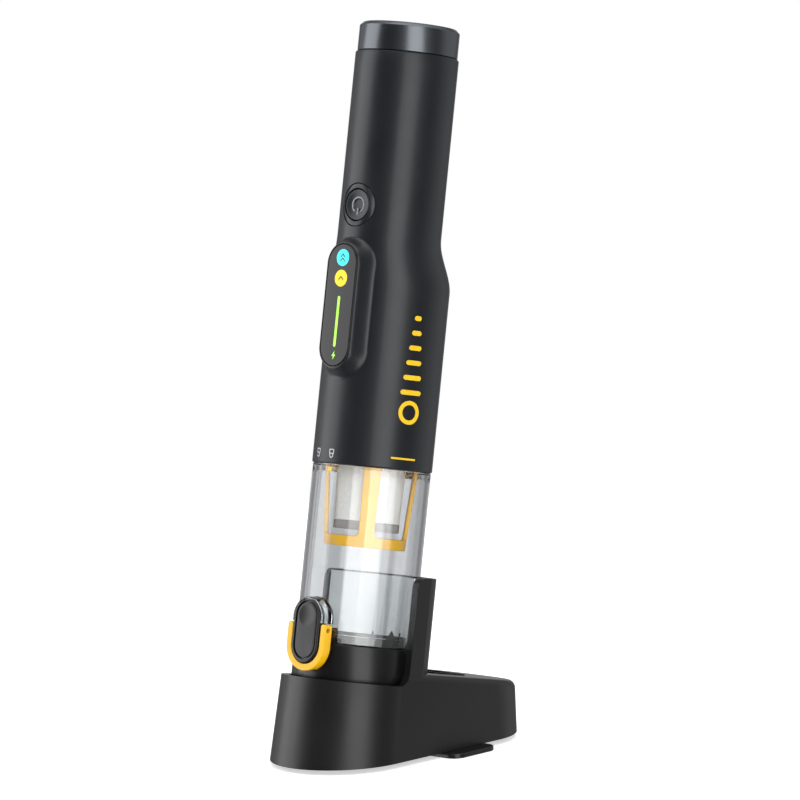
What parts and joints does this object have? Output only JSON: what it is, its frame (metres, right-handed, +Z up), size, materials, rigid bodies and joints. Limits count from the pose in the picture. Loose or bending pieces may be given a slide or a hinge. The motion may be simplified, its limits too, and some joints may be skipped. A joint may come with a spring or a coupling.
{
  "type": "handheld vacuum",
  "caption": "Slim cordless handheld vacuum with clear dust cup, display, power button and latch, standing in a storage dock.",
  "frame": {"origin": "on the table under the middle of the standing object", "axes": "+Z up; the display and latch face -Y and lean back with the body; the dock's tail points to +Y; +X is to the right of someone facing the display"},
  "size_m": [0.088, 0.1358, 0.3471],
  "materials": {
    "dock_plastic": "satin",
    "foot_rubber": "matt",
    "cover_plastic": "satin",
    "latch_plastic": "satin",
    "black_rubber": "matt",
    "clear_plastic": "polished",
    "yellow_plastic": "satin",
    "filter_fabric": "pleated",
    "filter_end": "matt",
    "body_plastic": "soft satin",
    "cap_metal": "dark metallic lacquer",
    "lens_gloss": "gloss",
    "board": "solder mask",
    "inner_plastic": "matt",
    "foam": "open-cell foam",
    "steel": "bright",
    "cell_wrap": "shrink wrap"
  },
  "bodies": {
    "dock": {"dock_body": "dock_plastic", "dock_base_plate": "dock_plastic", "dock_front_foot": "foot_rubber", "dock_rear_foot": "dock_plastic", "dock_screw_1": "steel", "dock_screw_2": "steel", "dock_screw_3": "steel"},
    "nozzle_cover": {"nozzle_cover": "cover_plastic", "cover_seal": "black_rubber", "intake_duct": "black_rubber"},
    "intake_flap": {"intake_flap": "black_rubber"},
    "dust_cup": {"dust_cup": "clear_plastic", "latch_pin": "steel"},
    "latch": {"latch_button": "latch_plastic", "latch_bail": "yellow_plastic", "latch_spring": "steel"},
    "filter_cage": {"filter_cage": "yellow_plastic"},
    "filter_element": {"filter_element": "filter_fabric", "filter_end_cap": "filter_end"},
    "cup_seal": {"cup_seal": "black_rubber"},
    "main_body": {"main_shell": "body_plastic", "display_lens": "lens_gloss", "display_board": "board", "button_ring": "cap_metal", "button_seat": "inner_plastic", "button_switch": "inner_plastic", "main_board": "board", "charge_port": "steel", "intake_plate": "inner_plastic", "impeller_housing": "inner_plastic", "motor_mount": "black_rubber", "motor_can": "steel", "stator_ring": "steel", "bearing_front": "steel", "bearing_rear": "steel", "battery_cell_1": "cell_wrap", "battery_cell_2": "cell_wrap", "battery_cell_3": "cell_wrap", "cell_holder_lower": "inner_plastic", "cell_holder_upper": "inner_plastic", "chassis_screw_1": "steel", "chassis_screw_2": "steel", "end_cap": "cap_metal", "exhaust_filter": "foam"},
    "power_button": {"power_button": "body_plastic"},
    "rotor": {"motor_shaft": "steel", "rotor_core": "steel", "impeller": "inner_plastic"},
    "port_cover": {"port_cover": "black_rubber"}
  },
  "joints": [
    {"name": "lift_out", "type": "slide", "parent": "dock", "child": "nozzle_cover", "axis": [0, 0.1994, 0.9799], "range_m": [0, 0.1]},
    {"name": "cover_release", "type": "slide", "parent": "nozzle_cover", "child": "dust_cup", "axis": [0, 0.1994, 0.9799], "range_m": [0, 0.06]},
    {"name": "cup_separation", "type": "slide", "parent": "dust_cup", "child": "filter_cage", "axis": [0, 0.1994, 0.9799], "range_m": [0, 0.055]},
    {"name": "element_pull", "type": "slide", "parent": "filter_cage", "child": "filter_element", "axis": [0, 0.1994, 0.9799], "range_m": [0, 0.05]},
    {"name": "filter_pull", "type": "slide", "parent": "filter_element", "child": "cup_seal", "axis": [0, 0.1994, 0.9799], "range_m": [0, 0.03]},
    {"name": "cup_twist", "type": "hinge", "parent": "cup_seal", "child": "main_body", "pos_m": [0, -0.0023, 0.1538], "axis": [0, 0.1994, 0.9799], "range_deg": [0, 20]},
    {"name": "latch_rock", "type": "hinge", "parent": "dust_cup", "child": "latch", "pos_m": [0, -0.05203, 0.06636], "axis": [-1, 0, 0], "range_deg": [0, 6], "stiffness_Nm_per_rad": 0.05, "deforming": ["latch_spring"]},
    {"name": "button_press", "type": "slide", "parent": "main_body", "child": "power_button", "axis": [0, 0.9799, -0.1994], "range_m": [0, 0.0006], "stiffness_N_per_m": 400},
    {"name": "rotor_spin", "type": "hinge", "parent": "main_body", "child": "rotor", "pos_m": [0, 0.00279, 0.17879], "axis": [0, 0.1994, 0.9799], "continuous": true},
    {"name": "port_cover_swing", "type": "hinge", "parent": "main_body", "child": "port_cover", "pos_m": [0, 0.0511, 0.31142], "axis": [-1, 0, 0], "range_deg": [0, 100], "stiffness_Nm_per_rad": 0.001},
    {"name": "intake_flap_swing", "type": "hinge", "parent": "nozzle_cover", "child": "intake_flap", "pos_m": [0.0027, -0.00431, 0.05583], "axis": [-0.6428, -0.7507, 0.1527], "range_deg": [0, 60]}
  ]
}
